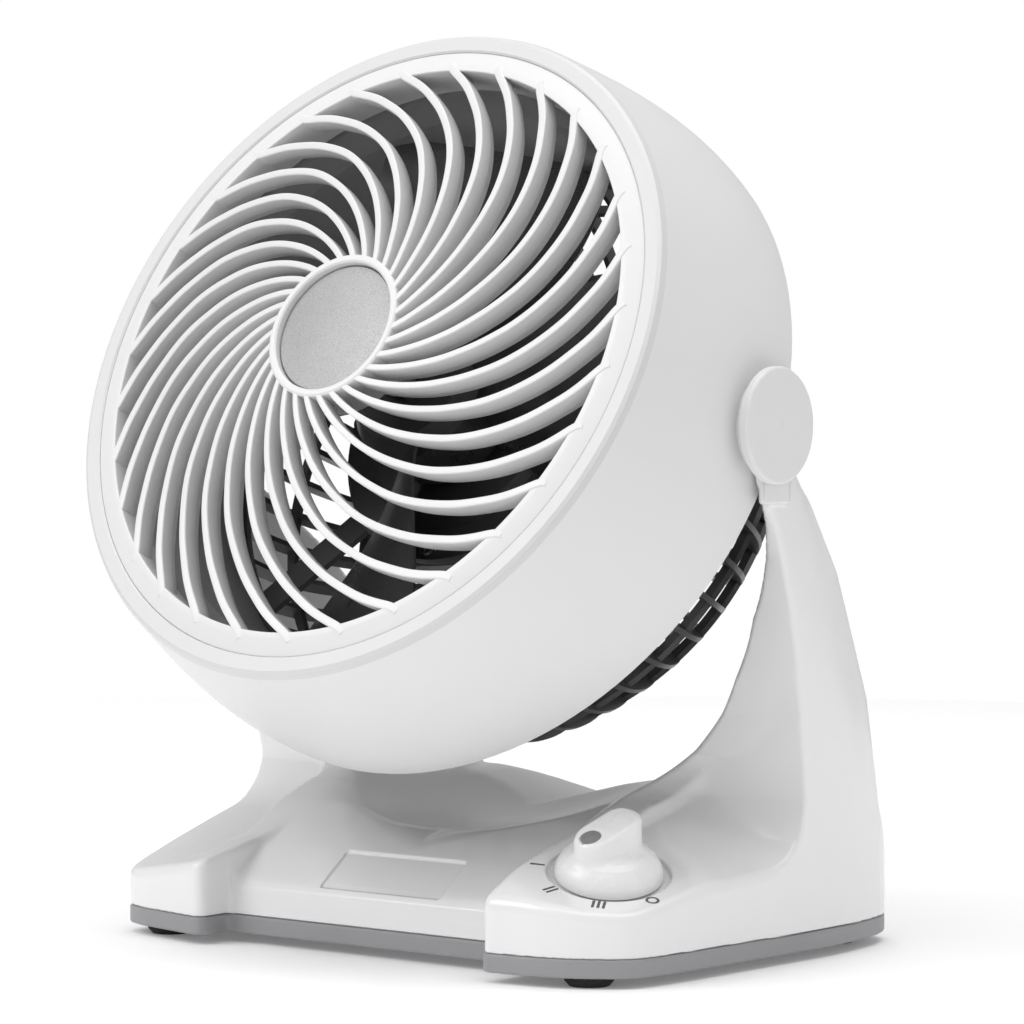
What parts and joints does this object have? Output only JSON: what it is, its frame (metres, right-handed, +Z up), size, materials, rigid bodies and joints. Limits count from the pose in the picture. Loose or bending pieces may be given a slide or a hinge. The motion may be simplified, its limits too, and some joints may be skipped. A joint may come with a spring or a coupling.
{
  "type": "table-top air circulator fan",
  "caption": "Compact round air circulator with a spiral louvre grille, its head tilting between the two arms of a low stand with a rotary speed knob.",
  "frame": {"origin": "on the ground, under the middle of the object's box; the head's tilt axis is straight above it", "axes": "+Z up, the air leaves towards -Y, the speed knob is on the +X side"},
  "size_m": [0.2424, 0.1904, 0.2838],
  "materials": {
    "white_shell": "satin moulded",
    "white_bezel": "satin moulded",
    "white_grille": "satin moulded",
    "silver_badge": "fine metallic speckle",
    "grey_duct": "satin moulded",
    "charcoal_grille": "fine grained",
    "dark_blade": "satin moulded",
    "motor_metal": "painted",
    "steel": "brushed",
    "copper": "enamelled wire",
    "white_stand": "gloss moulded",
    "grey_pan": "fine grained",
    "black_rubber": "matt",
    "black_plastic": "matt",
    "white_knob": "satin moulded",
    "pointer_grey": "printed"
  },
  "bodies": {
    "stand": {"stand_shell": "white_stand", "base_pan": "grey_pan", "foot_front_right": "black_rubber", "foot_front_left": "black_rubber", "foot_rear_right": "black_rubber", "foot_rear_left": "black_rubber", "pan_screws": "steel", "rotary_switch": "black_plastic", "switch_nut": "steel", "terminal_block": "black_plastic", "terminal_screws": "steel", "cord_gland": "black_plastic", "gland_nut": "black_plastic"},
    "head": {"duct_shell": "white_shell", "front_bezel": "white_bezel", "louvre_grille": "white_grille", "badge_disc": "silver_badge", "inner_duct": "grey_duct", "rear_grille": "charcoal_grille", "motor_mount": "charcoal_grille", "motor_casing_front": "motor_metal", "motor_casing_rear": "motor_metal", "stator_core": "steel", "stator_winding": "copper", "bearing_front": "steel", "bearing_rear": "steel", "motor_screws": "steel", "grille_screws": "steel", "trunnion_left": "white_shell", "trunnion_right": "white_shell", "pivot_cap_left": "white_shell", "pivot_cap_right": "white_shell", "pivot_washers": "steel", "trunnion_screws": "steel"},
    "rotor": {"propeller": "dark_blade", "motor_shaft": "steel", "rotor_core": "steel", "propeller_nut": "steel"},
    "knob": {"speed_knob": "white_knob", "knob_pointer": "pointer_grey", "switch_spindle": "steel"}
  },
  "joints": [
    {"name": "head_tilt", "type": "hinge", "parent": "stand", "child": "head", "pos_m": [0, 0, 0.1635], "axis": [-1, 0, 0], "range_deg": [-25.68, 64.32]},
    {"name": "propeller_spin", "type": "hinge", "parent": "head", "child": "rotor", "pos_m": [0, 0, 0.1635], "axis": [0, -0.9012, 0.4333], "continuous": true},
    {"name": "knob_turn", "type": "hinge", "parent": "stand", "child": "knob", "pos_m": [0.081, -0.03094, 0.03129], "axis": [0.2433, -0.2423, 0.9392], "range_deg": [-45, 90]}
  ]
}
